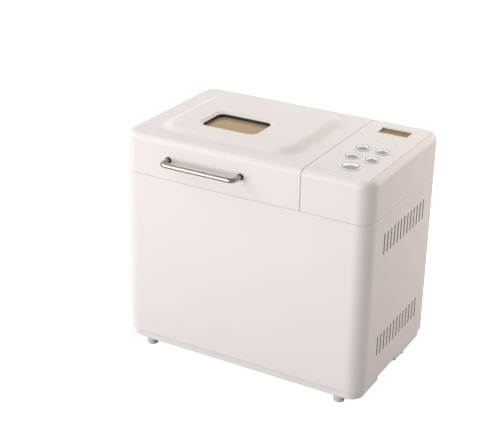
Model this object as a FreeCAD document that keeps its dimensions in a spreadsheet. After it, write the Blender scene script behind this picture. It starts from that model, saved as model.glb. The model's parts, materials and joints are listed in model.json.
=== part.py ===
"""A compact one-paddle bread machine, built as separate pieces.

Every piece is drawn from one datum: the corner where the left side, the front face and the
table meet, with x to the right, y to the back and z up. node() then carries the finished
piece into the part's own frame, whose origin is the middle of the footprint on the table.
"""
import FreeCAD, Part

import math
import os
import re

import Sketcher

Vector = FreeCAD.Vector

# The driving dimensions, in millimetres and degrees.
DIMENSIONS = {
    # casing
    "body_width": 345.0, "body_depth": 215.0, "body_height": 303.0,
    "corner_radius": 20.0, "top_radius": 8.0, "shell_wall": 2.5,
    "seam_round": 0.8, "edge_round": 0.8,
    "seam_height": 249.3, "seam_gap": 0.8, "lid_seam": 253.5,
    "skin_bottom": 22.5, "plinth_bottom": 11.5, "plinth_inset": 3.0, "plinth_top": 34.0,
    "front_foot_radius": 7.2, "rear_foot_radius": 10.0,
    "front_foot_inset": 33.0, "front_foot_setback": 14.0,
    "rear_foot_inset": 19.0, "rear_foot_setback": 163.0,
    "recess_front": 64.0, "recess_length": 56.0, "recess_height": 5.5, "recess_reach": 30.0,
    "vent_width": 3.6, "vent_height": 28.2, "vent_pitch": 10.15, "vent_first": 47.0,
    "vent_upper": 211.0, "vent_lower": 69.8, "vent_count": 13,
    # lid
    "plateau_left": 31.0, "plateau_right": 228.0, "plateau_front": 26.0,
    "plateau_back": 193.0, "plateau_rise": 6.0, "plateau_slope": 11.5, "plateau_corner": 32.0,
    "window_across": 117.0, "window_along": 87.5, "window_width": 87.0, "window_depth": 61.0,
    "window_corner": 14.0, "window_bevel": 5.0, "window_lip": 1.5,
    "glass_top": 302.5, "glass_thickness": 3.0,
    "handle_across": 121.0, "handle_span": 103.0, "handle_height": 276.7,
    "handle_reach": 21.0, "handle_radius": 3.0, "handle_bend": 7.0,
    "liner_ceiling": 286.0, "liner_sheet": 1.2, "liner_margin": 2.0,
    "hinge_inset": 4.0, "hinge_height": 254.0, "hinge_barrel": 4.0, "hinge_pin": 2.0,
    "hinge_left": 62.0, "hinge_right": 192.0, "hinge_ear": 10.0, "running_gap": 0.05,
    # control panel
    "panel_line": 337.0, "panel_groove": 0.7, "display_across": 296.0, "display_along": 177.0,
    "display_width": 40.0, "display_depth": 20.0, "display_lip": 1.6,
    "button_across": 298.3, "button_along": 71.6, "button_pitch_x": 26.2,
    "button_pitch_y": 31.4, "button_radius": 7.6, "button_ring": 10.0, "button_rise": 2.9,
    "start_along": 40.0, "start_radius": 9.8, "start_ring": 12.2,
    "light_along": 135.3, "light_left": 280.6, "light_right": 306.1, "light_radius": 1.6,
    "board_height": 284.0, "board_thickness": 1.6,
    # oven
    "drive_across": 122.0, "drive_along": 107.0,
    "chamber_width": 188.0, "chamber_depth": 156.0, "chamber_floor": 62.0,
    "chamber_sheet": 1.0, "chamber_corner": 12.0, "deck_thickness": 3.0,
    "element_height": 94.0, "element_span": 132.0, "element_reach": 83.0,
    "element_radius": 3.25, "element_bend": 18.0,
    "sensor_height": 130.0,
    # bread pan
    "pan_width": 150.0, "pan_depth": 116.0, "pan_taper": 5.0, "pan_corner": 20.0,
    "pan_bottom": 84.0, "pan_rim": 222.0, "pan_wall": 1.5,
    "bail_height": 212.0, "bail_span": 160.0, "bail_reach": 64.0, "bail_radius": 2.0,
    "bail_bend": 15.0, "lug_width": 10.0,
    # drive
    "shaft_radius": 4.0, "motor_across": 298.0, "chassis_height": 42.0,
    "chassis_sheet": 2.0, "pulley_radius": 46.0, "motor_pulley_radius": 7.0,
    "belt_thickness": 1.8, "belt_gap": 0.3, "belt_low": 25.8, "belt_height": 8.4,
    "motor_shaft_radius": 3.0, "cord_across": 270.0, "cord_height": 46.0,
    "cord_bore": 3.6, "screw_radius": 1.6,
}

doc = FreeCAD.newDocument("bread_machine")
sheet = doc.addObject("Spreadsheet::Sheet", "Dimensions")
for row, (alias, number) in enumerate(DIMENSIONS.items(), start=1):
    sheet.set(f"A{row}", alias)
    sheet.set(f"B{row}", str(number))
    sheet.setAlias(f"B{row}", alias)
doc.recompute()

own_place = {}
nodes = []


def bound(text):
    """The text as an expression, with every dimension's name spelt in full."""
    def full(match):
        word = match.group(0)
        return f"Dimensions.{word}" if word in DIMENSIONS else word
    return re.sub(r"[a-z][a-z_]*", full, str(text))


def value(text):
    """The number that an expression of dimensions comes to."""
    total = sheet.evalExpression(bound(text))
    return float(getattr(total, "Value", total))


def move(piece, x, y, z):
    """Bind a piece's place to dimensions, measured from the datum corner."""
    own_place[piece.Name] = (str(x), str(y))
    for axis, text in zip("xyz", (x, y, z)):
        piece.setExpression(f"Placement.Base.{axis}", bound(text))
    return piece


def node(label, piece):
    """Name a finished piece and carry it from the datum corner into the part's frame."""
    x, y = own_place.get(piece.Name, ("0", "0"))
    piece.Label = label
    piece.setExpression("Placement.Base.x", bound(f"({x}) - body_width / 2"))
    piece.setExpression("Placement.Base.y", bound(f"({y}) + (handle_reach - body_depth) / 2"))
    nodes.append(piece)
    return piece


# ---------------------------------------------------------------- plain solids and booleans

def box(x, y, z):
    """A block between two values on each axis."""
    piece = doc.addObject("Part::Box", "Block")
    for size, (low, high) in zip(("Length", "Width", "Height"), (x, y, z)):
        piece.setExpression(size, bound(f"({high}) - ({low})"))
    return move(piece, x[0], y[0], z[0])


TURNS = {
    "x": FreeCAD.Rotation(Vector(0, 1, 0), 90),
    "y": FreeCAD.Rotation(Vector(1, 0, 0), -90),
    "z": FreeCAD.Rotation(),
}


def along(axis, across, span):
    """The start of a round piece that runs along an axis, from its other two places."""
    first, second = across
    start = {"x": (span[0], first, second), "y": (first, span[0], second), "z": (first, second, span[0])}
    return start[axis]


def rod(radius, across, span, axis="z"):
    """A cylinder along an axis; across holds its two other places, span its two ends."""
    piece = doc.addObject("Part::Cylinder", "Rod")
    piece.setExpression("Radius", bound(radius))
    piece.setExpression("Height", bound(f"({span[1]}) - ({span[0]})"))
    piece.Placement.Rotation = TURNS[axis]
    return move(piece, *along(axis, across, span))


def cone(low_radius, high_radius, across, span, axis="z"):
    """A cone or taper along an axis."""
    piece = doc.addObject("Part::Cone", "Taper")
    piece.setExpression("Radius1", bound(low_radius))
    piece.setExpression("Radius2", bound(high_radius))
    piece.setExpression("Height", bound(f"({span[1]}) - ({span[0]})"))
    piece.Placement.Rotation = TURNS[axis]
    return move(piece, *along(axis, across, span))


def fuse(*pieces):
    """The pieces as one object; pieces that do not touch stay separate solids in it."""
    result = doc.addObject("Part::MultiFuse", "Joined")
    result.Shapes = list(pieces)
    return result


def cut(base, *tools):
    result = doc.addObject("Part::Cut", "Cut")
    result.Base = base
    result.Tool = tools[0] if len(tools) == 1 else fuse(*tools)
    return result


def common(first, second):
    result = doc.addObject("Part::Common", "Shared")
    result.Base = first
    result.Tool = second
    return result


def tube(outer, inner, across, span, axis="z"):
    """A ring or sleeve."""
    return cut(rod(outer, across, span, axis), rod(inner, across, span, axis))


def rounded_edges(base, radius, wanted):
    """Round the edges of a piece that wanted(edge) picks."""
    doc.recompute()
    size = value(radius)
    result = doc.addObject("Part::Fillet", "Rounded")
    result.Base = base
    picks = [i for i, edge in enumerate(base.Shape.Edges, start=1) if wanted(edge)]
    result.Edges = [(i, size, size) for i in picks]
    return result


def at_height(height, slack=0.01):
    """Picks the edges that lie wholly at one height."""
    level = value(height)

    def wanted(edge):
        bounds = edge.BoundBox
        return abs(bounds.ZMin - level) < slack and abs(bounds.ZMax - level) < slack
    return wanted


# ---------------------------------------------------------------- sketched solids

PLANES = {"xy": "XY_Plane", "xz": "XZ_Plane", "yz": "YZ_Plane"}


def new_body():
    return doc.addObject("PartDesign::Body", "Body")


def new_sketch(body, plane, offset):
    """A sketch on one of the body's own origin planes, shifted by bound distances."""
    sketch = body.newObject("Sketcher::SketchObject", "Sketch")
    role = PLANES[plane]
    sketch.AttachmentSupport = [(f, "") for f in body.Origin.OriginFeatures if f.Role == role]
    sketch.MapMode = "FlatFace"
    for axis, text in zip("xyz", offset):
        sketch.setExpression(f"AttachmentOffset.Base.{axis}", bound(text))
    return sketch


def dimension(sketch, name, constraint, text):
    """Add a named constraint and bind it to dimensions."""
    index = sketch.addConstraint(constraint)
    sketch.renameConstraint(index, name)
    sketch.setExpression(f"Constraints.{name}", bound(text))


def draw_rounded(sketch, width, depth, corner):
    """A rounded rectangle about the sketch's origin."""
    half_w, half_d, r = value(width) / 2, value(depth) / 2, value(corner)
    corners = [(1, -1, -90), (1, 1, 0), (-1, 1, 90), (-1, -1, 180)]
    for index, (sx, sy, start) in enumerate(corners):
        centre = Vector(sx * (half_w - r), sy * (half_d - r), 0)
        ring = Part.Circle(centre, Vector(0, 0, 1), r)
        begin = math.radians(start)
        sketch.addGeometry(Part.ArcOfCircle(ring, begin, begin + math.pi / 2), False)
    for index in range(4):
        here = sketch.Geometry[index]
        after = sketch.Geometry[(index + 1) % 4]
        sketch.addGeometry(Part.LineSegment(here.EndPoint, after.StartPoint), False)
    for index in range(4):
        line = 4 + index
        sketch.addConstraint(Sketcher.Constraint("Tangent", index, 2, line, 1))
        sketch.addConstraint(Sketcher.Constraint("Tangent", line, 2, (index + 1) % 4, 1))
        kind = "Vertical" if index % 2 == 0 else "Horizontal"
        sketch.addConstraint(Sketcher.Constraint(kind, line))
    for index in range(1, 4):
        sketch.addConstraint(Sketcher.Constraint("Equal", 0, index))
    sketch.addConstraint(Sketcher.Constraint("Symmetric", 3, 3, 1, 3, -1, 1))
    across = Sketcher.Constraint("DistanceX", 3, 3, 1, 3, 2 * (half_w - r))
    upward = Sketcher.Constraint("DistanceY", 3, 3, 1, 3, 2 * (half_d - r))
    dimension(sketch, "corner", Sketcher.Constraint("Radius", 0, r), corner)
    dimension(sketch, "across", across, f"({width}) - 2 * ({corner})")
    dimension(sketch, "upward", upward, f"({depth}) - 2 * ({corner})")


def middle(pair):
    return f"(({pair[0]}) + ({pair[1]})) / 2"


def extent(pair):
    return f"({pair[1]}) - ({pair[0]})"


def prism(x, y, z, corner, top_round=None, low_round=None):
    """An upright block with rounded corners, and a rounded top or bottom edge where asked."""
    body = new_body()
    sketch = new_sketch(body, "xy", (middle(x), middle(y), z[0]))
    draw_rounded(sketch, extent(x), extent(y), corner)
    pad = body.newObject("PartDesign::Pad", "Pad")
    pad.Profile = sketch
    pad.setExpression("Length", bound(extent(z)))
    last = pad
    for level, size in ((z[1], top_round), (z[0], low_round)):
        if size:
            doc.recompute()
            wanted = at_height(level)
            edges = last.Shape.Edges
            names = [f"Edge{i}" for i, edge in enumerate(edges, start=1) if wanted(edge)]
            rounding = body.newObject("PartDesign::Fillet", "Rounding")
            rounding.Base = (last, names)
            rounding.setExpression("Radius", bound(size))
            last = rounding
    return body


def tapered(low, high, z, low_corner, high_corner):
    """An upright block that changes from one rounded outline to another.

    low and high are ((x0, x1), (y0, y1)) outlines.
    """
    body = new_body()
    outlines = []
    for (x, y), level, corner in ((low, z[0], low_corner), (high, z[1], high_corner)):
        sketch = new_sketch(body, "xy", (middle(x), middle(y), level))
        draw_rounded(sketch, extent(x), extent(y), corner)
        outlines.append(sketch)
    loft = body.newObject("PartDesign::AdditiveLoft", "Loft")
    loft.Profile = outlines[0]
    loft.Sections = outlines[1:]
    loft.Ruled = True
    return body


def around(centre, size):
    """The two ends of a length laid evenly about a centre."""
    return (f"({centre}) - ({size}) / 2", f"({centre}) + ({size}) / 2")


def inset(pair, amount):
    return (f"({pair[0]}) + ({amount})", f"({pair[1]}) - ({amount})")


def u_rod(span, reach, bend, radius, turn):
    """A round rod bent into a U: two legs that start at y = 0 and a bar at y = reach.

    turn is the angle about z that the U is turned by; move() places the middle of the open
    side.
    """
    half, far, r = value(span) / 2, value(reach), value(bend)
    body = new_body()
    path = new_sketch(body, "xy", ("0", "0", "0"))
    left = Part.Circle(Vector(r - half, far - r, 0), Vector(0, 0, 1), r)
    right = Part.Circle(Vector(half - r, far - r, 0), Vector(0, 0, 1), r)
    path.addGeometry(Part.LineSegment(Vector(-half, 0, 0), Vector(-half, far - r, 0)), False)
    path.addGeometry(Part.ArcOfCircle(left, math.pi / 2, math.pi), False)
    path.addGeometry(Part.LineSegment(Vector(r - half, far, 0), Vector(half - r, far, 0)), False)
    path.addGeometry(Part.ArcOfCircle(right, 0, math.pi / 2), False)
    path.addGeometry(Part.LineSegment(Vector(half, far - r, 0), Vector(half, 0, 0)), False)
    for first, end, second, start in ((0, 2, 1, 2), (1, 1, 2, 1), (2, 2, 3, 2), (3, 1, 4, 1)):
        path.addConstraint(Sketcher.Constraint("Tangent", first, end, second, start))
    path.addConstraint(Sketcher.Constraint("Vertical", 0))
    path.addConstraint(Sketcher.Constraint("Vertical", 4))
    path.addConstraint(Sketcher.Constraint("Equal", 1, 3))
    path.addConstraint(Sketcher.Constraint("Symmetric", 0, 1, 4, 2, -1, 1))
    dimension(path, "span", Sketcher.Constraint("DistanceX", 0, 1, 4, 2, 2 * half), span)
    dimension(path, "bend", Sketcher.Constraint("Radius", 1, r), bend)
    dimension(path, "reach", Sketcher.Constraint("DistanceY", 0, 1, 2, 1, far), reach)
    profile = new_sketch(body, "xz", (f"-({span}) / 2", "0", "0"))
    ring = Part.Circle(Vector(0, 0, 0), Vector(0, 0, 1), value(radius))
    profile.addGeometry(ring, False)
    profile.addConstraint(Sketcher.Constraint("Coincident", 0, 3, -1, 1))
    dimension(profile, "radius", Sketcher.Constraint("Radius", 0, value(radius)), radius)
    pipe = body.newObject("PartDesign::AdditivePipe", "Pipe")
    pipe.Profile = profile
    pipe.Spine = (path, [])
    body.Placement.Rotation = FreeCAD.Rotation(Vector(0, 0, 1), turn)
    return body


# ---------------------------------------------------------------- places used by many pieces

ALL_X = ("0", "body_width")
ALL_Y = ("0", "body_depth")
CHAMBER_X = around("drive_across", "chamber_width")
CHAMBER_Y = around("drive_along", "chamber_depth")
CHAMBER_OUT_X = inset(CHAMBER_X, "-chamber_sheet")
CHAMBER_OUT_Y = inset(CHAMBER_Y, "-chamber_sheet")
DECK_LOW = "seam_height - deck_thickness"
BAND_LOW = "seam_height + seam_gap"
LID_RIGHT = "lid_seam - seam_gap / 2"
PANEL_LEFT = "lid_seam + seam_gap / 2"
DRIVE = ("drive_across", "drive_along")
MOTOR = ("motor_across", "drive_along")
CHASSIS_TOP = "chassis_height + chassis_sheet"
BOARD_TOP = "board_height + board_thickness"
WINDOW_X = around("window_across", "window_width")
WINDOW_Y = around("window_along", "window_depth")
BUTTONS = {
    "start_button": ("button_across", "start_along", "start_radius", "start_ring"),
    "menu_button": ("button_across - button_pitch_x / 2", "button_along",
                    "button_radius", "button_ring"),
    "crust_button": ("button_across + button_pitch_x / 2", "button_along",
                     "button_radius", "button_ring"),
    "size_button": ("button_across - button_pitch_x / 2", "button_along + button_pitch_y",
                    "button_radius", "button_ring"),
    "timer_button": ("button_across + button_pitch_x / 2", "button_along + button_pitch_y",
                     "button_radius", "button_ring"),
}


def four(x, y):
    """The four places of a rectangle of fixings."""
    return [(first, second) for first in x for second in y]


# ---------------------------------------------------------------- casing

CASE_POSTS = four(("52", "body_width - 52"), ("7.5", "body_depth - 7.5"))
BOARD_POSTS = four(("44", "156"), ("136", "231"))


def vent_row(body, level):
    """One row of upright slots through the right wall of a body."""
    sketch = new_sketch(body, "yz", ("vent_first", level, "body_width - 3 * shell_wall"))
    draw_rounded(sketch, "vent_width", "vent_height", "vent_width / 2.1")
    slot = body.newObject("PartDesign::Pocket", "Slot")
    slot.Profile = sketch
    slot.setExpression("Length", bound("4 * shell_wall"))
    slot.Reversed = True
    row = body.newObject("PartDesign::LinearPattern", "Slots")
    row.Originals = [slot]
    row.Direction = (sketch, ["H_Axis"])
    row.setExpression("Length", bound("vent_pitch * (vent_count - 1)"))
    row.setExpression("Occurrences", bound("vent_count"))
    body.Tip = row


def body_shell():
    """The wrap: front, sides and back in one, open above and below."""
    body = prism(ALL_X, ALL_Y, ("skin_bottom", "seam_height"), "corner_radius",
                 "seam_round", "edge_round")
    hollow = new_sketch(body, "xy", ("body_width / 2", "body_depth / 2", "seam_height"))
    inner = [f"{side} - 2 * shell_wall" for side in ("body_width", "body_depth")]
    draw_rounded(hollow, inner[0], inner[1], "corner_radius - shell_wall")
    pocket = body.newObject("PartDesign::Pocket", "Hollow")
    pocket.Profile = hollow
    pocket.setExpression("Length", bound("seam_height - skin_bottom"))
    vent_row(body, "vent_upper")
    vent_row(body, "vent_lower")
    posts = []
    for x, y in CASE_POSTS:
        posts.append(tube("5.5", "screw_radius", (x, y), ("plinth_top + 0.3", DECK_LOW)))
    inner_wall = "body_width - shell_wall / 2"
    for y, z in BOARD_POSTS:
        posts.append(rod("3", (y, z), ("323.6", inner_wall), "x"))
    edges = box(("0", "body_width"), ("shell_wall / 2", "body_depth - shell_wall / 2"),
                ("skin_bottom", "seam_height"))
    shell = fuse(body, common(fuse(*posts), edges))
    cord_way = rod("7", ("cord_across", "cord_height"), ("body_depth - 9", "body_depth + 1"), "y")
    return cut(shell, cord_way)


def base_tray():
    """The plinth and floor, set in from the wrap, with a finger recess under each side."""
    x = inset(ALL_X, "plinth_inset")
    y = inset(ALL_Y, "plinth_inset")
    tray = prism(x, y, ("plinth_bottom", "plinth_top"), "corner_radius - plinth_inset",
                 None, "edge_round")
    hollow = prism(inset(x, "shell_wall"), inset(y, "shell_wall"),
                   ("plinth_bottom + shell_wall", "plinth_top + 1"),
                   "corner_radius - plinth_inset - shell_wall")
    parts = [cut(tray, hollow)]
    recesses = []
    recess_y = ("recess_front", "recess_front + recess_length")
    recess_top = "plinth_bottom + recess_height"
    reach = "(plinth_inset + recess_reach)"
    for roof, notch in (((x[0], f"{reach} + shell_wall"), ("0", reach)),
                        ((f"body_width - {reach} - shell_wall", x[1]),
                         (f"body_width - {reach}", "body_width"))):
        parts.append(box(roof, inset(recess_y, "-shell_wall"),
                         ("plinth_bottom + 1", f"{recess_top} + shell_wall")))
        recesses.append(box(notch, recess_y, ("plinth_bottom - 1", recess_top)))
    for place in CASE_POSTS:
        parts.append(rod("5.5", place, ("plinth_bottom + 1", "plinth_top")))
    holes = [rod("screw_radius", place, ("plinth_bottom - 1", "plinth_top + 1"))
             for place in CASE_POSTS]
    for place in CASE_POSTS:
        holes.append(rod("2.4 * screw_radius", place, ("plinth_bottom - 1", "plinth_bottom + 6")))
    for index in range(7):
        y_low = f"{140 + 8 * index}"
        holes.append(box(("262", "296"), (y_low, f"{y_low} + 3.5"),
                         ("plinth_bottom - 1", "plinth_bottom + shell_wall + 1")))
    limits = prism(x, y, ("plinth_bottom", "plinth_top"), "corner_radius - plinth_inset",
                   None, "edge_round")
    return cut(common(fuse(*parts), limits), *recesses, *holes)


def front_feet():
    """Two plain round feet near the front corners."""
    feet = [rod("front_foot_radius", (x, "front_foot_setback"), ("0", "plinth_bottom"))
            for x in ("front_foot_inset", "body_width - front_foot_inset")]
    doc.recompute()
    return rounded_edges(fuse(*feet), "1.2", at_height("0"))


def rear_feet():
    """Two rubber feet, wider at the floor."""
    feet = [cone("rear_foot_radius", "rear_foot_radius - 1.5", (x, "rear_foot_setback"),
                 ("0", "plinth_bottom")) for x in ("rear_foot_inset", "body_width - rear_foot_inset")]
    return fuse(*feet)


def case_screws():
    """Four long screws from under the base up into the wrap's posts."""
    screws = []
    for place in CASE_POSTS:
        screws.append(rod("screw_radius", place, ("plinth_bottom + 6", "plinth_top + 24")))
        screws.append(rod("2 * screw_radius", place, ("plinth_bottom + 4", "plinth_bottom + 6")))
    return fuse(*screws)


def top_deck():
    """The inner top, with the oven's mouth in it; it carries the panel and the hinges."""
    edge = "shell_wall + 0.2"
    plate = prism(inset(ALL_X, edge), inset(ALL_Y, edge), (DECK_LOW, "seam_height"),
                  "corner_radius - 2.7")
    mouth = prism(CHAMBER_X, CHAMBER_Y, (f"{DECK_LOW} - 1", "seam_height + 1"), "chamber_corner")
    cable_way = prism(("275", "320"), ("90", "150"), (f"{DECK_LOW} - 1", "seam_height + 1"), "6")
    return cut(plate, mouth, cable_way)


def cord_gland():
    """The bush in the back wall that the mains lead comes through."""
    centre = ("cord_across", "cord_height")
    sleeve = rod("7", centre, ("body_depth - 10", "body_depth"), "y")
    flange = rod("10", centre, ("body_depth - 6", "body_depth - shell_wall - 0.2"), "y")
    bore = rod("cord_bore", centre, ("body_depth - 11", "body_depth + 1"), "y")
    return cut(fuse(sleeve, flange), bore)


# ---------------------------------------------------------------- lid

def band(x, side):
    """The upper band of the casing between two values of x, solid, with rounded edges.

    side is the one of the two values at the seam between the lid and the panel.
    """
    block = prism(ALL_X, ALL_Y, (BAND_LOW, "body_height"), "corner_radius",
                  "top_radius", "seam_round")
    part = common(block, box(x, ("-1", "body_depth + 1"), (BAND_LOW, "body_height + 1")))
    level = value(side)

    def at_seam(edge):
        bounds = edge.BoundBox
        return abs(bounds.XMin - level) < 0.01 and abs(bounds.XMax - level) < 0.01
    return rounded_edges(part, "seam_round / 1.3", at_seam)


def plateau(margin, low, high):
    """The raised middle of the lid, grown or shrunk by a margin, between two heights."""
    foot = (inset(("plateau_left", "plateau_right"), margin),
            inset(("plateau_front", "plateau_back"), margin))
    crest = tuple(inset(pair, "plateau_slope") for pair in foot)
    return tapered(foot, crest, (low, high), "plateau_corner", "plateau_corner - plateau_slope")


def soft_top(base):
    """Round the foot and the crest of the lid's raised middle."""
    doc.recompute()
    low, high = value("body_height"), value("body_height + plateau_rise")
    left, right = value("plateau_left"), value("plateau_right")
    picks = []
    for index, edge in enumerate(base.Shape.Edges, start=1):
        bounds = edge.BoundBox
        flat = bounds.ZMax - bounds.ZMin < 0.01
        inside = bounds.XMin > left - 1 and bounds.XMax < right + 1 and bounds.YMin > 20
        if flat and inside and abs(bounds.ZMax - low) < 0.01:
            picks.append((index, 14.0, 14.0))
        if flat and inside and abs(bounds.ZMax - high) < 0.01:
            picks.append((index, 12.0, 12.0))
    result = doc.addObject("Part::Fillet", "SoftTop")
    result.Base = base
    result.Edges = picks
    return result


HINGE_PLACES = ("hinge_left", "hinge_right")
HINGE_AXIS = ("body_depth - hinge_inset", "hinge_height")
LINER_POSTS = four(("16", "237"), ("16", "198"))
RETAINER_POSTS = [(f"window_across {dx}", f"window_along {dy}")
                  for dx in ("- 48", "+ 48") for dy in ("- 35", "+ 35")]


def window_edges(edge):
    """Picks the upper edges of the window's opening."""
    bounds = edge.BoundBox
    level = value("body_height + plateau_rise")
    reach = value("window_width / 2") + 0.1
    near = abs(bounds.Center.x - value("window_across")) < reach
    near = near and abs(bounds.Center.y - value("window_along")) < reach
    return near and abs(bounds.ZMin - level) < 0.01 and abs(bounds.ZMax - level) < 0.01


def lid_shell():
    """The lid's outer shell: front skirt, left side, top and the raised window panel."""
    outside = fuse(band(("-1", LID_RIGHT), LID_RIGHT),
                   plateau("0", "body_height", "body_height + plateau_rise"))
    outside = soft_top(outside)
    wall = "shell_wall"
    hollow = common(prism(inset(ALL_X, wall), inset(ALL_Y, wall),
                          (f"{BAND_LOW} - 1", "body_height - shell_wall"), "corner_radius - 2.5"),
                    box((wall, f"{LID_RIGHT} - shell_wall"), ("0", "body_depth"),
                        (f"{BAND_LOW} - 1", "body_height")))
    raised = prism(inset(("plateau_left", "plateau_right"), "plateau_slope + 3"),
                   inset(("plateau_front", "plateau_back"), "plateau_slope + 3"),
                   ("body_height - 4", "body_height + plateau_rise - shell_wall"), "18")
    posts = [tube("4", "1.5", place, ("liner_ceiling - 33.8", "body_height - 2"))
             for place in LINER_POSTS]
    posts += [tube("3.2", "1", place, ("glass_top", "body_height + 4"))
              for place in RETAINER_POSTS]
    shell = fuse(cut(outside, hollow, raised), *posts)
    bevel_top = "body_height + plateau_rise"
    opening = tapered((inset(WINDOW_X, "window_bevel"), inset(WINDOW_Y, "window_bevel")),
                      (WINDOW_X, WINDOW_Y), (f"{bevel_top} - shell_wall - 0.1", bevel_top),
                      "window_corner - window_bevel", "window_corner")
    undercut = box(("-1", "body_width"), ("body_depth - 5.5", "body_depth + 1"),
                   ("seam_height", "hinge_height"))
    shell = rounded_edges(cut(shell, opening, undercut), "window_lip", window_edges)
    barrel = rod("hinge_barrel", HINGE_AXIS, ("14", LID_RIGHT), "x")
    shell = fuse(shell, barrel)
    gaps = []
    for place in HINGE_PLACES:
        ear = around(place, "hinge_ear + 0.8")
        gaps.append(box(ear, ("body_depth - 9", "body_depth + 1"),
                        ("seam_height", "hinge_height + hinge_barrel + 0.4")))
        gaps.append(rod("hinge_pin + running_gap", HINGE_AXIS, around(place, "40.4"), "x"))
    slots = []
    for index in range(8):
        slots.append(box((f"{84 + 11 * index}", f"{91 + 11 * index}"),
                         ("body_depth - 4", "body_depth + 1"), ("276", "279")))
    for place in around("handle_across", "handle_span"):
        slots.append(rod("handle_radius", (place, "handle_height"), ("-1", "4"), "y"))
    return cut(shell, *gaps, *slots)


def lid_liner():
    """The lid's inner cover: a flange round the oven's mouth and a dome above the pan."""
    sheet_text = "liner_sheet"
    low = "liner_ceiling - 35"
    dome_x = inset(CHAMBER_X, "-liner_margin")
    dome_y = inset(CHAMBER_Y, "-liner_margin")
    flange = prism(("6", "246"), ("6", "205"), (low, f"{low} + {sheet_text}"), "14")
    outer = prism(inset(dome_x, "-liner_sheet"), inset(dome_y, "-liner_sheet"),
                  (low, "liner_ceiling + liner_sheet"), "15")
    inner = prism(dome_x, dome_y, (f"{low} - 1", "liner_ceiling"), "14")
    sight = prism(around("window_across", "76"), around("window_along", "50"),
                  ("liner_ceiling - 1", "liner_ceiling + 3"), "9")
    holes = [rod("1.6", place, (f"{low} - 1", f"{low} + 3")) for place in LINER_POSTS]
    return cut(fuse(flange, outer), inner, sight, *holes)


def lid_seal():
    """The soft ring round the oven's mouth, fixed under the liner's flange."""
    outer = prism(inset(CHAMBER_X, "-9"), inset(CHAMBER_Y, "-9"),
                  ("seam_height + 0.4", "liner_ceiling - 35"), "20")
    inner = prism(inset(CHAMBER_X, "-4"), inset(CHAMBER_Y, "-4"),
                  ("seam_height", "liner_ceiling - 34"), "15")
    return cut(outer, inner)


def liner_screws():
    """Four screws that hold the liner to the lid's posts."""
    screws = []
    for place in LINER_POSTS:
        screws.append(rod("3.2", place, ("liner_ceiling - 36.1", "liner_ceiling - 35")))
        screws.append(rod("1.5", place, ("liner_ceiling - 35", "liner_ceiling - 24")))
    return fuse(*screws)


def window_gasket():
    """The dark ring between the lid's opening and the outer glass."""
    outer = prism(around("window_across", "88"), around("window_along", "62"),
                  ("glass_top", "body_height + plateau_rise - shell_wall"), "12")
    inner = prism(inset(WINDOW_X, "window_bevel"), inset(WINDOW_Y, "window_bevel"),
                  ("glass_top - 1", "body_height + plateau_rise"), "window_corner - window_bevel")
    return cut(outer, inner)


def window_glass():
    """The outer pane."""
    return prism(around("window_across", "85"), around("window_along", "59"),
                 ("glass_top - glass_thickness", "glass_top"), "10")


def window_retainer():
    """The frame that holds the outer pane up against its gasket."""
    low = "glass_top - glass_thickness - 3"
    frame = prism(around("window_across", "104"), around("window_along", "78"),
                  (low, "glass_top"), "8")
    seat = prism(around("window_across", "85.4"), around("window_along", "59.4"),
                 ("glass_top - glass_thickness", "glass_top + 1"), "10.2")
    sight = prism(around("window_across", "76"), around("window_along", "50"),
                  (f"{low} - 1", "glass_top"), "9")
    holes = [rod("1.2", place, (f"{low} - 1", "glass_top + 1")) for place in RETAINER_POSTS]
    return cut(frame, seat, sight, *holes)


def inner_glass():
    """The inner pane, lying on the liner's ceiling."""
    low = "liner_ceiling + liner_sheet"
    return prism(around("window_across", "86"), around("window_along", "60"),
                 (low, f"{low} + glass_thickness"), "10")


def handle_bar():
    """The bent rod across the lid's front."""
    start = "shell_wall + 3"
    wire = u_rod("handle_span", f"handle_reach - handle_radius + {start}", "handle_bend",
                 "handle_radius", 180)
    return move(wire, "handle_across", start, "handle_height")


def handle_sockets():
    """The dark collars that the handle's legs go into, with their nuts behind the skirt."""
    collars = []
    for place in around("handle_across", "handle_span"):
        centre = (place, "handle_height")
        collars.append(tube("handle_radius + 1.2", "handle_radius", centre, ("-1", "0"), "y"))
        collars.append(tube("handle_radius + 3", "handle_radius", centre,
                            ("shell_wall", "shell_wall + 3"), "y"))
    return fuse(*collars)


def hinge_brackets():
    """Two ears on the deck that the lid's hinge pins go through."""
    ears = []
    for place in HINGE_PLACES:
        across = around(place, "hinge_ear")
        stem = box(across, ("body_depth - hinge_inset - 3.8", "body_depth - 0.2"),
                   ("seam_height", "hinge_height"))
        bore = rod("hinge_pin", HINGE_AXIS, inset(across, "-1"), "x")
        ears.append(cut(fuse(stem, rod("3.8", HINGE_AXIS, across, "x")), bore))
    return fuse(*ears)


def hinge_pins():
    """Two steel pins, tight in the ears and free in the lid's barrel."""
    return fuse(*[rod("hinge_pin", HINGE_AXIS, around(place, "40"), "x")
                  for place in HINGE_PLACES])


# ---------------------------------------------------------------- control panel

PANEL_SCREW_PLACES = [("263", "12"), ("263", "204"), ("331", "206")]
CONTROL_POSTS = four(("266", "332"), ("28", "192"))
DISPLAY = ("display_across", "display_along")


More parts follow.
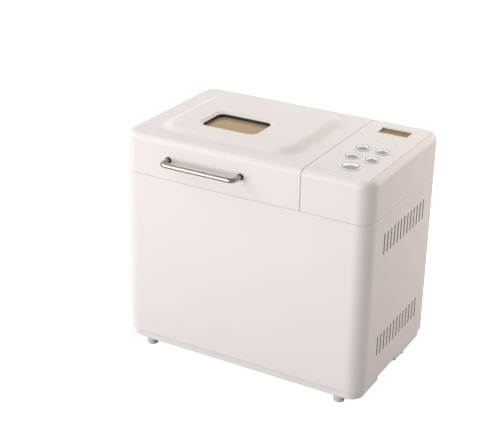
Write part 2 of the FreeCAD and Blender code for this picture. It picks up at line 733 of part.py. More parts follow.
def control_housing():
    """The box beside the lid: panel on top, front, side and back below it."""
    outside = band((PANEL_LEFT, "body_width + 1"), PANEL_LEFT)
    wall = "shell_wall"
    hollow = common(prism(inset(ALL_X, wall), inset(ALL_Y, wall),
                          (f"{BAND_LOW} - 1", "body_height - shell_wall"), "corner_radius - 2.5"),
                    box((f"{PANEL_LEFT} + shell_wall", "body_width"), ("0", "body_depth"),
                        (f"{BAND_LOW} - 1", "body_height")))
    posts = [rod("4", place, ("seam_height", "body_height - 2")) for place in PANEL_SCREW_PLACES]
    posts += [rod("3", place, (BOARD_TOP, "body_height - 2")) for place in CONTROL_POSTS]
    shell = fuse(cut(outside, hollow), *posts)
    groove = box(around("panel_line", "panel_groove"), ("3", "body_depth - 3"),
                 ("body_height - panel_groove", "body_height + 1"))
    over = ("body_height - 4", "body_height + 1")
    display_hole = prism(around("display_across", "display_width + display_lip + 1"),
                         around("display_along", "display_depth + display_lip + 1"), over, "2")
    tools = [groove, display_hole]
    for x, y, _, ring in BUTTONS.values():
        tools.append(rod(f"{ring} - 1.1", (x, y), over))
    for place in ("light_left", "light_right"):
        tools.append(rod("light_radius", (place, "light_along"), over))
    return cut(shell, *tools)


def display_bezel():
    """The frame round the display, sloping down to the lens."""
    width = "display_width + display_lip"
    depth = "display_depth + display_lip"
    x, y = around("display_across", width), around("display_along", depth)
    brim = prism(inset(x, "-0.9"), inset(y, "-0.9"), ("body_height", "body_height + 0.5"), "2")
    neck = prism(inset(x, "-0.5"), inset(y, "-0.5"), ("body_height - 4.6", "body_height + 0.2"), "2")
    sight_x = around("display_across", "display_width")
    sight_y = around("display_along", "display_depth")
    slope = tapered((sight_x, sight_y), (x, y), ("body_height - 0.6", "body_height + 0.6"), "1", "1.4")
    sight = prism(sight_x, sight_y, ("body_height - 7", "body_height"), "1")
    seat = prism(inset(sight_x, "-0.5"), inset(sight_y, "-0.5"),
                 ("body_height - 7", "body_height - 1.2"), "1")
    return cut(fuse(brim, neck), slope, sight, seat)


def display_lens():
    """The tinted window over the display."""
    return prism(around("display_across", "display_width + 0.8"),
                 around("display_along", "display_depth + 0.8"),
                 ("body_height - 2.4", "body_height - 1.2"), "1")


def lcd_module():
    """The liquid crystal display and its carrier on the control board."""
    glass = box(around("display_across", "display_width + 0.1"),
                around("display_along", "display_depth + 0.1"),
                ("body_height - 6.6", "body_height - 2.6"))
    carrier = box(around("display_across", "display_width + 6"),
                  around("display_along", "display_depth + 5"),
                  (BOARD_TOP, "body_height - 6.6"))
    return fuse(glass, carrier)


def indicator_lenses():
    """Two light pipes from the board's lamps to the panel."""
    return fuse(*[rod("light_radius", (place, "light_along"), (BOARD_TOP, "body_height + 0.5"))
                  for place in ("light_left", "light_right")])


def control_board():
    """The circuit board under the panel."""
    plate = box(("262", "336"), ("24", "196"), ("board_height", BOARD_TOP))
    chip = box(("284", "312"), ("112", "126"), (f"{BOARD_TOP} - 0.2", f"{BOARD_TOP} + 2.4"))
    return fuse(plate, chip)


def tact_switches():
    """One small switch under each button."""
    switches = []
    for x, y, _, _ in BUTTONS.values():
        switches.append(box(around(x, "6"), around(y, "6"), (BOARD_TOP, f"{BOARD_TOP} + 3.5")))
        switches.append(rod("1.7", (x, y), (f"{BOARD_TOP} + 3.4", f"{BOARD_TOP} + 5")))
    return fuse(*switches)


def button_rings():
    """The bright ring round each button."""
    rings = []
    for x, y, radius, ring in BUTTONS.values():
        flat = rod(ring, (x, y), ("body_height", "body_height + 0.6"))
        slope = cone(ring, f"{ring} - 1", (x, y), ("body_height + 0.6", "body_height + 1.3"))
        neck = rod(f"{ring} - 1.1", (x, y), ("body_height - shell_wall", "body_height"))
        bore = rod(f"{radius} + 0.9", (x, y), ("body_height - 4", "body_height + 3"))
        rings.append(cut(fuse(flat, slope, neck), bore))
    return fuse(*rings)


def push_button(x, y, radius):
    """A domed button with a flange that the panel holds in and a stem down to its switch."""
    crown = "body_height + button_rise"
    flange_top = "body_height - shell_wall - 0.3"
    sphere = doc.addObject("Part::Sphere", "Dome")
    dome = "(({r}) ^ 2 + 1.6 ^ 2) / 3.2".format(r=radius)
    sphere.setExpression("Radius", bound(dome))
    move(sphere, x, y, f"{crown} - {dome}")
    cap = common(rod(radius, (x, y), (f"{flange_top} - 1", crown)), sphere)
    flange = rod(f"{radius} + 1.4", (x, y), (f"{flange_top} - 1.2", flange_top))
    stem = rod("2.5", (x, y), (f"{BOARD_TOP} + 6.2", flange_top))
    return fuse(cap, flange, stem)


# ---------------------------------------------------------------- oven

ELEMENT_LEGS = around("drive_along", "element_span")
CHAMBER_RIGHT = CHAMBER_X[1]


def oven_chamber():
    """The sheet-metal oven, with a flange under the deck."""
    top = DECK_LOW
    outer = prism(CHAMBER_OUT_X, CHAMBER_OUT_Y, ("chamber_floor - chamber_sheet", top),
                  "chamber_corner + chamber_sheet")
    flange = prism(inset(CHAMBER_X, "-9"), inset(CHAMBER_Y, "-9"), (f"{top} - 1", top), "20")
    inner = prism(CHAMBER_X, CHAMBER_Y, ("chamber_floor", f"{top} + 1"), "chamber_corner")
    wall = (f"{CHAMBER_RIGHT} - 2", f"{CHAMBER_RIGHT} + 3")
    holes = [rod("13.2", DRIVE, ("chamber_floor - 3", "chamber_floor + 3"))]
    holes += [rod("element_radius + 0.1", (y, "element_height"), wall, "x") for y in ELEMENT_LEGS]
    holes.append(rod("3.1", ("drive_along", "sensor_height"), wall, "x"))
    return cut(fuse(outer, flange), inner, *holes)


def heating_element():
    """The U-shaped heater round the pan, with its two ends out through the right wall."""
    start = f"{CHAMBER_RIGHT} + 14"
    tube_body = u_rod("element_span", f"element_reach + {start} - drive_across", "element_bend",
                      "element_radius", 90)
    move(tube_body, start, "drive_along", "element_height")
    tags = []
    for y in ELEMENT_LEGS:
        tags.append(box((start, f"{start} + 9"), around(y, "0.8"), around("element_height", "5")))
    return fuse(tube_body, *tags)


def element_bushes():
    """The ceramic bushes where the heater goes through the wall."""
    outside = f"{CHAMBER_RIGHT} + chamber_sheet"
    return fuse(*[tube("7", "element_radius", (y, "element_height"),
                       (outside, f"{outside} + 9"), "x") for y in ELEMENT_LEGS])


def temperature_sensor():
    """The probe through the right wall, with its flange outside."""
    outside = f"{CHAMBER_RIGHT} + chamber_sheet"
    centre = ("drive_along", "sensor_height")
    probe = rod("3", centre, (f"{CHAMBER_RIGHT} - 8", f"{outside} + 6"), "x")
    flange = rod("6", centre, (outside, f"{outside} + 2"), "x")
    return fuse(probe, flange)


def lugs(inner, outer, z, first):
    """Three small blocks evenly round the drive axis, between two radii; the first angle."""
    blocks = []
    for index in range(3):
        block = doc.addObject("Part::Box", "Lug")
        block.setExpression("Length", bound(f"({outer}) - ({inner})"))
        block.setExpression("Width", bound("lug_width"))
        block.setExpression("Height", bound(f"({z[1]}) - ({z[0]})"))
        angle = first + 120 * index
        block.Placement.Rotation = FreeCAD.Rotation(Vector(0, 0, 1), angle)
        turn = (f"cos({angle} deg)", f"sin({angle} deg)")
        x = f"drive_across + ({inner}) * {turn[0]} + lug_width / 2 * {turn[1]}"
        y = f"drive_along + ({inner}) * {turn[1]} - lug_width / 2 * {turn[0]}"
        blocks.append(move(block, x, y, z[0]))
    return blocks


def pan_socket():
    """The ring on the oven's floor that the pan's foot locks into."""
    ring = tube("38", "33.5", DRIVE, ("chamber_floor", "chamber_floor + 12"))
    flange = tube("44", "33.5", DRIVE, ("chamber_floor", "chamber_floor + 1.5"))
    tabs = lugs("31", "36", ("chamber_floor + 10", "chamber_floor + 12"), 80.5)
    return fuse(ring, flange, *tabs)


def bearing_housing():
    """The flanged housing that stands on the chassis and holds the drive shaft's bushes."""
    barrel = rod("13", DRIVE, (CHASSIS_TOP, "chamber_floor + 2.5"))
    flange = rod("24", DRIVE, (CHASSIS_TOP, f"{CHASSIS_TOP} + 3"))
    bore = rod("8", DRIVE, (f"{CHASSIS_TOP} - 1", "chamber_floor + 4"))
    return cut(fuse(barrel, flange), bore)


def drive_bushes():
    """Two bronze bushes for the drive shaft."""
    return fuse(*[tube("8", "shaft_radius + running_gap", DRIVE, (low, f"{low} + 7"))
                  for low in (CHASSIS_TOP, "chamber_floor - 4.5")])


# ---------------------------------------------------------------- chassis and electrics

CHASSIS_POSTS = four(("45", "325"), ("45", "170"))
CHAMBER_POSTS = four(("60", "184"), ("60", "154"))


def chassis_plate():
    """The steel plate that carries the oven, the bearing and the motor."""
    plate = prism(("34", "334"), ("34", "190"), ("chassis_height", CHASSIS_TOP), "8")
    span = ("chassis_height - 1", f"{CHASSIS_TOP} + 1")
    return cut(plate, rod("11", DRIVE, span), rod("11", MOTOR, span),
               prism(("205", "250"), ("70", "144"), span, "8"))


def support_posts():
    """The posts from the base to the chassis and from the chassis to the oven."""
    posts = [rod("5", place, ("plinth_bottom + shell_wall", "chassis_height"))
             for place in CHASSIS_POSTS]
    posts += [rod("5", place, (CHASSIS_TOP, "chamber_floor - chamber_sheet"))
              for place in CHAMBER_POSTS]
    return fuse(*posts)


def heat_shield():
    """The sheet between the oven and the electrics."""
    plate = box(("246", "246.8"), ("22", "192"), (CHASSIS_TOP, "chamber_floor + 176"))
    foot = box(("246", "256"), ("22", "192"), (CHASSIS_TOP, f"{CHASSIS_TOP} + 0.8"))
    motor_way = rod("30", MOTOR, ("chassis_height", "chamber_floor"))
    return cut(fuse(plate, foot), motor_way)


def motor_frame():
    """The motor's core and its two end bells, hollow for the rotor."""
    low = CHASSIS_TOP
    core = box(around("motor_across", "60"), around("drive_along", "60"),
               (f"{low} + 18", f"{low} + 50"))
    bells = rod("26", MOTOR, (low, f"{low} + 66"))
    hollow = rod("20", MOTOR, (f"{low} + 5", f"{low} + 61"))
    bore = rod("motor_shaft_radius + running_gap", MOTOR, (f"{low} - 1", f"{low} + 67"))
    return cut(fuse(core, bells), hollow, bore)


def motor_rotor():
    """The rotor and its shaft, from the pulley below to the fan above."""
    low = CHASSIS_TOP
    core = rod("15", MOTOR, (f"{low} + 18", f"{low} + 48"))
    shaft = rod("motor_shaft_radius", MOTOR, ("belt_low - 2", f"{low} + 82"))
    return fuse(core, shaft)


def motor_fan():
    """The cooling fan on top of the motor."""
    low = f"{CHASSIS_TOP} + 69"
    hub = rod("9", MOTOR, (low, f"{low} + 11"))
    disc = rod("27", MOTOR, (low, f"{low} + 1.5"))
    blades = []
    for index in range(9):
        angle = 40 * index
        blade = doc.addObject("Part::Box", "Blade")
        blade.setExpression("Length", bound("19"))
        blade.setExpression("Width", bound("1.5"))
        blade.setExpression("Height", bound("9.5"))
        blade.Placement.Rotation = FreeCAD.Rotation(Vector(0, 0, 1), angle)
        x = f"motor_across + 7.5 * cos({angle} deg)"
        y = f"drive_along + 7.5 * sin({angle} deg)"
        blades.append(move(blade, x, y, f"{low} + 1"))
    bore = rod("motor_shaft_radius", MOTOR, (f"{low} - 1", f"{low} + 12"))
    return cut(fuse(hub, disc, *blades), bore)


def belt_pulley(centre, seat, bore, hub):
    """A flat-belt pulley: a seat between two flanges, and a hub."""
    low, high = "belt_low - 1.8", "belt_low + belt_height + 1.8"
    drum = rod(seat, centre, (low, high))
    flanges = [rod(f"{seat} + 3", centre, (edge, f"{edge} + 1.2")) for edge in
               (low, f"{high} - 1.2")]
    boss = rod(hub, centre, (low, f"{high} + 2"))
    hole = rod(bore, centre, (f"{low} - 1", f"{high} + 3"))
    return fuse(drum, boss, *flanges), hole


def large_pulley():
    """The driven pulley, dished above and below and lightened with five holes."""
    solid, hole = belt_pulley(DRIVE, "pulley_radius", "shaft_radius", "9")
    dishes = [tube("pulley_radius - 5", "11", DRIVE, ("belt_low - 3", "belt_low + 1.5")),
              tube("pulley_radius - 5", "11", DRIVE,
                   ("belt_low + belt_height - 2.5", "belt_low + belt_height + 3"))]
    for index in range(5):
        angle = 72 * index
        place = (f"drive_across + 26 * cos({angle} deg)", f"drive_along + 26 * sin({angle} deg)")
        dishes.append(rod("8.5", place, ("belt_low", "belt_low + belt_height")))
    return cut(solid, hole, *dishes)


def motor_pulley():
    """The small driving pulley."""
    solid, hole = belt_pulley(MOTOR, "motor_pulley_radius", "motor_shaft_radius", "5.5")
    return cut(solid, hole)


def draw_belt(sketch, large, small, distance):
    """A closed loop round two circles: two arcs and the two straight runs between them."""
    big, little, apart = value(large), value(small), value(distance)
    lean = math.acos((big - little) / apart)
    first, second = Vector(0, 0, 0), Vector(apart, 0, 0)
    normal = Vector(0, 0, 1)
    arcs = [Part.ArcOfCircle(Part.Circle(first, normal, big), lean, 2 * math.pi - lean),
            Part.ArcOfCircle(Part.Circle(second, normal, little), -lean, lean)]
    for arc in arcs:
        sketch.addGeometry(arc, False)
    sketch.addGeometry(Part.LineSegment(arcs[0].EndPoint, arcs[1].StartPoint), False)
    sketch.addGeometry(Part.LineSegment(arcs[1].EndPoint, arcs[0].StartPoint), False)
    for first_end, second_end in (((0, 2), (2, 1)), ((2, 2), (1, 1)), ((1, 2), (3, 1)), ((3, 2), (0, 1))):
        sketch.addConstraint(Sketcher.Constraint("Tangent", *first_end, *second_end))
    sketch.addConstraint(Sketcher.Constraint("Coincident", 0, 3, -1, 1))
    sketch.addConstraint(Sketcher.Constraint("PointOnObject", 1, 3, -1))
    dimension(sketch, "large", Sketcher.Constraint("Radius", 0, big), large)
    dimension(sketch, "small", Sketcher.Constraint("Radius", 1, little), small)
    dimension(sketch, "apart", Sketcher.Constraint("DistanceX", 0, 3, 1, 3, apart), distance)


def drive_belt():
    """The flat belt round both pulleys."""
    body = new_body()
    apart = "motor_across - drive_across"
    for kind, growth in (("Pad", "belt_gap + belt_thickness"), ("Pocket", "belt_gap")):
        top = kind == "Pocket"
        level = "belt_low + belt_height" if top else "belt_low"
        sketch = new_sketch(body, "xy", (DRIVE[0], DRIVE[1], level))
        draw_belt(sketch, f"pulley_radius + {growth}", f"motor_pulley_radius + {growth}", apart)
        feature = body.newObject(f"PartDesign::{kind}", kind)
        feature.Profile = sketch
        feature.setExpression("Length", bound("belt_height"))
    return body


def power_board():
    """The mains board, upright behind the right wall's vents."""
    return box(("322", "323.6"), ("38", "162"), ("128", "237"))


def power_components():
    """The transformer, relay and capacitors on the mains board."""
    transformer = box(("288", "322"), ("50", "90"), ("150", "188"))
    relay = box(("305", "322"), ("100", "120"), ("146", "164"))
    parts = [transformer, relay]
    for y in ("108", "130"):
        parts.append(rod("8", (y, "205"), ("294", "322"), "x"))
    parts.append(box(("312", "322"), ("130", "154"), ("140", "160")))
    return fuse(*parts)


# ---------------------------------------------------------------- bread pan

PAN_X = around("drive_across", "pan_width")
PAN_Y = around("drive_along", "pan_depth")


def bread_pan():
    """The loaf pan: tapered, with a folded rim and a hole for its bush."""
    outer = tapered((inset(PAN_X, "pan_taper"), inset(PAN_Y, "pan_taper")), (PAN_X, PAN_Y),
                    ("pan_bottom", "pan_rim"), "pan_corner - 2", "pan_corner")
    brim = prism(inset(PAN_X, "-2"), inset(PAN_Y, "-2"), ("pan_rim - 1.5", "pan_rim"),
                 "pan_corner + 2")
    inner = tapered((inset(PAN_X, "pan_taper + pan_wall"), inset(PAN_Y, "pan_taper + pan_wall")),
                    (inset(PAN_X, "pan_wall"), inset(PAN_Y, "pan_wall")),
                    ("pan_bottom + pan_wall", "pan_rim + 0.01"), "pan_corner - 3.5", "pan_corner - 1.5")
    hole = rod("8", DRIVE, ("pan_bottom - 1", "pan_bottom + 3"))
    return cut(fuse(outer, brim), inner, hole, *stud_shafts())


def pan_base_ring():
    """The pan's foot, with three lugs that turn under the socket's tabs."""
    skirt = tube("29.5", "26.5", DRIVE, ("chamber_floor + 2", "pan_bottom"))
    collar = tube("35", "26.5", DRIVE, ("pan_bottom - 1.5", "pan_bottom"))
    return fuse(skirt, collar, *lugs("28", "33", ("chamber_floor + 7.5", "chamber_floor + 9.5"), 90))


def pan_bush():
    """The sealed bush for the paddle's shaft."""
    sleeve = rod("8", DRIVE, ("pan_bottom - 5", "pan_bottom + 4"))
    flange = rod("11", DRIVE, ("pan_bottom + pan_wall", "pan_bottom + pan_wall + 1.5"))
    bore = rod("shaft_radius + running_gap", DRIVE, ("pan_bottom - 6", "pan_bottom + 8"))
    return cut(fuse(sleeve, flange), bore)


def stud_shafts():
    """The two studs that the pan's handle turns on, without their heads."""
    left, right = around("drive_across", "bail_span")
    spans = ((f"{left} - 2.6", f"{left} + 6.6"), (f"{right} - 6.6", f"{right} + 2.6"))
    return [rod("bail_radius", ("drive_along", "bail_height"), span, "x") for span in spans]


def bail_pivots():
    """The two headed studs in the pan's ends."""
    left, right = around("drive_across", "bail_span")
    heads = [rod("3.6", ("drive_along", "bail_height"), span, "x") for span in
             ((f"{left} - 4", f"{left} - 2.5"), (f"{right} + 2.5", f"{right} + 4"))]
    return fuse(*stud_shafts(), *heads)


def pan_bail():
    """The pan's wire handle, folded down to the front, with an eye on each leg."""
    wire = u_rod("bail_span", "bail_reach - 3", "bail_bend", "bail_radius", 180)
    move(wire, "drive_across", "drive_along - 3", "bail_height")
    eyes = []
    bores = []
    centre = ("drive_along", "bail_height")
    for place in around("drive_across", "bail_span"):
        eyes.append(rod("4.5", centre, around(place, "4.6"), "x"))
        bores.append(rod("bail_radius + running_gap", centre, around(place, "8"), "x"))
    return cut(fuse(wire, *eyes), *bores)


def pan_shaft():
    """The paddle's shaft, through the pan's bush."""
    return rod("shaft_radius", DRIVE, ("pan_bottom - 14", "pan_bottom + 24"))


def wings(span, z):
    """A bar across the drive axis."""
    return box(around("drive_across", span), around("drive_along", "6"), z)


def pan_coupling():
    """The two-winged driver under the pan."""
    z = ("pan_bottom - 13", "pan_bottom - 6.5")
    hub = rod("7", DRIVE, z)
    return cut(fuse(hub, wings("28", z)), rod("shaft_radius", DRIVE, inset(z, "-1")))


def kneading_paddle():
    """The paddle: a hub on the shaft and one blade that rises outwards."""
    low = "pan_bottom + 4.5"
    hub = cone("10", "8", DRIVE, (low, f"{low} + 22"))
    body = new_body()
    side = new_sketch(body, "xz", (DRIVE[0], low, f"-({DRIVE[1]}) - 2.2"))
    outline = [Vector(0, 0, 0), Vector(44, 0, 0), Vector(46, 5, 0), Vector(40, 30, 0),
               Vector(30, 33, 0), Vector(0, 20, 0)]
    for index, point in enumerate(outline):
        after = outline[(index + 1) % len(outline)]
        side.addGeometry(Part.LineSegment(point, after), False)
    for index in range(len(outline)):
        follower = (index + 1) % len(outline)
        side.addConstraint(Sketcher.Constraint("Coincident", index, 2, follower, 1))
    blade = body.newObject("PartDesign::Pad", "Blade")
    blade.Profile = side
    blade.setExpression("Length", bound("4.4"))
    bore = rod("shaft_radius", DRIVE, ("pan_bottom", "pan_bottom + 24.01"))
    return cut(fuse(hub, body), bore)


def drive_shaft():
    """The shaft from the large pulley up to the coupling."""
    return rod("shaft_radius", DRIVE, ("belt_low - 4", "chamber_floor + 5"))


def drive_coupling():
    """The driver on the oven's floor, with two fingers that push the pan's wings."""
    low = "chamber_floor + 3"
    hub = rod("11", DRIVE, (low, f"{low} + 4"))
    fingers = []
    for side in (1, -1):
        x = ("drive_across + 6.5", "drive_across + 14")
        y = ("drive_along + 3.3", "drive_along + 10")
        if side < 0:
            x = ("drive_across - 14", "drive_across - 6.5")
            y = ("drive_along - 10", "drive_along - 3.3")
        fingers.append(box(x, y, (low, "pan_bottom - 8")))
    bore = rod("shaft_radius", DRIVE, (f"{low} - 1", f"{low} + 5"))
    return cut(fuse(hub, *fingers), bore)


# ---------------------------------------------------------------- the whole machine

PIECES = [
    body_shell, base_tray, front_feet, rear_feet, case_screws, top_deck, cord_gland,
    lid_shell, lid_liner, lid_seal, liner_screws, window_gasket, window_glass,
    window_retainer, inner_glass, handle_bar, handle_sockets, hinge_brackets, hinge_pins,
    control_housing, display_bezel, display_lens, lcd_module, indicator_lenses,
    control_board, tact_switches, button_rings,
    oven_chamber, heating_element, element_bushes, temperature_sensor, pan_socket,
    bearing_housing, drive_bushes, chassis_plate, support_posts, heat_shield,
    motor_frame, motor_rotor, motor_fan, large_pulley, motor_pulley, drive_belt,
    power_board, power_components,
    bread_pan, pan_base_ring, pan_bush, bail_pivots, pan_bail,
    pan_shaft, pan_coupling, kneading_paddle, drive_shaft, drive_coupling,
]


def build():
    for make in PIECES:
        node(make.__name__, make())
    for name, (x, y, radius, _) in BUTTONS.items():
        node(name, push_button(x, y, radius))
    doc.recompute()


def check():
    """Stop at any object that failed, or any piece that is not a sound solid."""
    failed = [item.Name for item in doc.Objects if {"Invalid", "Error"} & set(item.State)]
    unsound = [piece.Label for piece in nodes
               if piece.Shape.isNull() or not piece.Shape.isValid() or not piece.Shape.Solids]
    if failed or unsound:
        raise RuntimeError(f"failed objects {failed}, unsound pieces {unsound}")


def write():
    os.makedirs("parts", exist_ok=True)
    for piece in nodes:
        piece.Shape.exportStep(f"parts/{piece.Label}.step")
        print(f"{piece.Label}: {len(piece.Shape.Solids)} solids, {piece.Shape.Volume / 1000:.1f} cm3")


build()
check()
write()
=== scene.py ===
"""The looks of a compact white bread machine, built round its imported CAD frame."""

import json
import math

import bmesh
import bpy
from mathutils import Matrix, Vector


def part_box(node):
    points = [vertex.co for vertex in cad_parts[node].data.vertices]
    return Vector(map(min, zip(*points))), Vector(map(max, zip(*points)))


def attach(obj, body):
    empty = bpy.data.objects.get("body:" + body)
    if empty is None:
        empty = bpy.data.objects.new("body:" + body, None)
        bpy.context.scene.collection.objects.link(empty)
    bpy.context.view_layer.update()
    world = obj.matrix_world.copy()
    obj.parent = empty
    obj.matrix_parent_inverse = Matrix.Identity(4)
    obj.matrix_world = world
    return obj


bpy.ops.wm.read_factory_settings(use_empty=True)
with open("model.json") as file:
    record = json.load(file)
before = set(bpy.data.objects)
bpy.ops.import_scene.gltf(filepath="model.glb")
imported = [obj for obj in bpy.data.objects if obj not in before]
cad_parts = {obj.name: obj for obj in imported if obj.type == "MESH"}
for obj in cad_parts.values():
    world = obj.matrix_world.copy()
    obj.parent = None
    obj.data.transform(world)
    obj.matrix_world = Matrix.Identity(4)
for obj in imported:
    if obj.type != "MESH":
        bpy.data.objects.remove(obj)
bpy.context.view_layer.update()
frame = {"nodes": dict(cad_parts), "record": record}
nodes = frame["nodes"]
MM = 0.001


# ---------------------------------------------------------------- shader helpers

class Shader:
    """A node material that is built up step by step; lengths in its noises are in metres."""

    def __init__(self, name, colour, roughness, metallic=0.0):
        self.material = bpy.data.materials.new(name)
        self.material.use_nodes = True
        self.tree = self.material.node_tree
        self.surface = self.tree.nodes["Principled BSDF"]
        self.place = self.node("ShaderNodeTexCoord").outputs["Object"]
        self.set("Base Color", (*colour, 1))
        self.set("Roughness", roughness)
        self.set("Metallic", metallic)
        self.normal = None

    def node(self, kind, settings=None, inputs=None):
        made = self.tree.nodes.new(kind)
        for key, value in (settings or {}).items():
            setattr(made, key, value)
        for key, value in (inputs or {}).items():
            self.feed(made.inputs[key], value)
        return made

    def feed(self, socket, value):
        if isinstance(value, bpy.types.NodeSocket):
            self.tree.links.new(value, socket)
        else:
            socket.default_value = value

    def set(self, name, value):
        self.feed(self.surface.inputs[name], value)

    def math(self, operation, first, second=0.0):
        made = self.node("ShaderNodeMath", {"operation": operation})
        self.feed(made.inputs[0], first)
        self.feed(made.inputs[1], second)
        return made.outputs[0]

    def stretched(self, factors):
        """The object's coordinates, multiplied axis by axis."""
        made = self.node("ShaderNodeVectorMath", {"operation": "MULTIPLY"})
        self.feed(made.inputs[0], self.place)
        made.inputs[1].default_value = factors
        return made.outputs[0]

    def noise(self, grain, detail=2.0, factors=None):
        """Soft noise whose blotches are about grain metres across."""
        place = self.stretched(factors) if factors else self.place
        made = self.node("ShaderNodeTexNoise", None, {
            "Vector": place, "Scale": 1 / grain, "Detail": detail})
        return made.outputs["Fac"]

    def cells(self, grain, feature="F1", output="Distance"):
        """A pattern of cells about grain metres across."""
        made = self.node("ShaderNodeTexVoronoi", {"feature": feature}, {
            "Vector": self.place, "Scale": 1 / grain})
        return made.outputs[output]

    def span(self, fac, low, high, to_low=0.0, to_high=1.0):
        made = self.node("ShaderNodeMapRange", {"clamp": True}, {
            "Value": fac, "From Min": low, "From Max": high,
            "To Min": to_low, "To Max": to_high})
        return made.outputs["Result"]

    def mix(self, fac, first, second, blend="MIX"):
        made = self.node("ShaderNodeMix", {"data_type": "RGBA", "blend_type": blend})
        ends = [value if isinstance(value, bpy.types.NodeSocket) else (*value, 1)
                for value in (first, second)]
        self.feed(made.inputs[0], fac)
        self.feed(made.inputs[6], ends[0])
        self.feed(made.inputs[7], ends[1])
        return made.outputs[2]

    def bump(self, height, strength, depth):
        """Add relief of that depth in metres on top of what there is."""
        made = self.node("ShaderNodeBump", None, {
            "Height": height, "Strength": strength, "Distance": depth})
        if self.normal is not None:
            self.feed(made.inputs["Normal"], self.normal)
        self.normal = made.outputs["Normal"]
        self.set("Normal", self.normal)

    def edges(self, width):
        """1 along edges, 0 elsewhere."""
        soft = self.node("ShaderNodeBevel", {"samples": 4}, {"Radius": width})
        true = self.node("ShaderNodeNewGeometry")
        dot = self.node("ShaderNodeVectorMath", {"operation": "DOT_PRODUCT"})
        self.feed(dot.inputs[0], soft.outputs["Normal"])
        self.feed(dot.inputs[1], true.outputs["Normal"])
        return self.span(dot.outputs["Value"], 0.995, 0.80)

    def crevices(self, reach):
        """0 in seams and corners, 1 on open surfaces."""
        made = self.node("ShaderNodeAmbientOcclusion", {"samples": 6}, {"Distance": reach})
        return made.outputs["AO"]


def moulded(name, colour, roughness, grain=0.0006, depth=0.00002, painted_shade_strength=0.35, seams=False):
    """Moulded plastic: fine spark-eroded grain, a slow change of tone, polished edges with a
    painted highlight along them.

    Painted shade darkens its openings inwards; with seams, thin gaps between two shells get
    painted light instead.
    """
    s = Shader(name, colour, roughness)
    warmer = [c * f for c, f in zip(colour, (1.0, 0.985, 0.97))]
    lighter = [min(1.0, c * 1.02) for c in colour]
    tone = s.mix(s.noise(0.09, 3.0), warmer, lighter)
    edge = s.edges(0.0012)
    # painted highlight: the tone lightens along the edges; their lower roughness further down is
    # the polish itself
    tone = s.mix(s.math("MULTIPLY", edge, 0.35), tone, [min(1.0, c * 1.08) for c in colour])
    # painted shade: the tone darkens in creases, openings and corners, as deep as the painted
    # shade strength asks
    painted_shade = [c * (1 - painted_shade_strength) * f for c, f in zip(colour, (1.0, 0.97, 0.93))]
    tone = s.mix(s.span(s.crevices(0.012), 0.2, 0.62), painted_shade, tone)
    if seams:
        # painted light: thin seams between two shells are lightened against their own shade
        pale = [min(1.0, c * 1.3) for c in colour]
        tone = s.mix(s.span(s.crevices(0.0013), 0.15, 0.7), pale, tone)
    s.set("Base Color", tone)
    speck = s.noise(grain, 2.0)
    varied = s.math("ADD", s.span(speck, 0.3, 0.7, roughness - 0.05, roughness + 0.05),
                    s.math("MULTIPLY", edge, -0.06))
    s.set("Roughness", varied)
    s.set("Specular IOR Level", 0.3)
    s.bump(speck, 0.35, depth)
    s.bump(s.noise(0.012, 2.0), 0.12, 0.00006)
    return s


def brushed(name, colour, roughness, factors, depth=0.000012, grain=0.0016):
    """Metal with fine lines along one direction, and a few longer scratches."""
    s = Shader(name, colour, roughness, 1.0)
    lines = s.noise(grain, 4.0, factors)
    patches = s.noise(0.02, 2.0)
    darker = [c * 0.86 for c in colour]
    s.set("Base Color", s.mix(patches, darker, colour))
    s.set("Roughness", s.math("ADD", s.span(lines, 0.3, 0.7, roughness - 0.06, roughness + 0.06),
                              s.span(patches, 0.2, 0.8, -0.02, 0.03)))
    s.bump(lines, 0.5, depth)
    return s


def shaded_gaps(s, tone, reach=0.0035):
    """Paint shade into the narrow gap round a piece: the tone falls off there."""
    dark = s.mix(1.0, tone, (0.16, 0.155, 0.15), "MULTIPLY")
    return s.mix(s.span(s.crevices(reach), 0.35, 0.85), dark, tone)


def turned(name, colour, roughness, centre, pitch=0.00045):
    """Metal with fine rings about an upright axis, as a lathe leaves them, and painted shade in
    the gap round it.
    """
    s = Shader(name, colour, roughness, 1.0)
    away = s.node("ShaderNodeVectorMath", {"operation": "SUBTRACT"})
    s.feed(away.inputs[0], s.place)
    away.inputs[1].default_value = centre
    flat = s.node("ShaderNodeVectorMath", {"operation": "MULTIPLY"})
    s.feed(flat.inputs[0], away.outputs[0])
    flat.inputs[1].default_value = (1, 1, 0)
    size = s.node("ShaderNodeVectorMath", {"operation": "LENGTH"})
    s.feed(size.inputs[0], flat.outputs[0])
    rings = s.node("ShaderNodeTexNoise", {"noise_dimensions": "1D"}, {
        "W": size.outputs["Value"], "Scale": 1 / pitch, "Detail": 3.0}).outputs["Fac"]
    smear = s.noise(0.004, 2.0)
    s.set("Base Color", shaded_gaps(
        s, s.mix(s.span(rings, 0.35, 0.65), [c * 0.9 for c in colour], colour)))
    s.set("Roughness", s.span(smear, 0.3, 0.7, roughness - 0.03, roughness + 0.05))
    s.bump(rings, 0.4, 0.00001)
    return s


def sheet_metal(name, colour, roughness, metallic=1.0):
    """Coated sheet: faint spangle, rolled lines and a few smears."""
    s = Shader(name, colour, roughness, metallic)
    spangle = s.cells(0.011, "F1", "Color")
    grey = s.node("ShaderNodeRGBToBW", None, {"Color": spangle}).outputs[0]
    rolled = s.noise(0.002, 3.0, (0.06, 1.0, 1.0))
    tone = s.mix(s.span(grey, 0.2, 0.8), [c * 0.94 for c in colour], colour)
    s.set("Base Color", s.mix(s.math("MULTIPLY", rolled, 0.25), tone, [c * 0.8 for c in colour]))
    s.set("Roughness", s.span(grey, 0.1, 0.9, roughness - 0.015, roughness + 0.02))
    s.bump(rolled, 0.25, 0.000006)
    return s


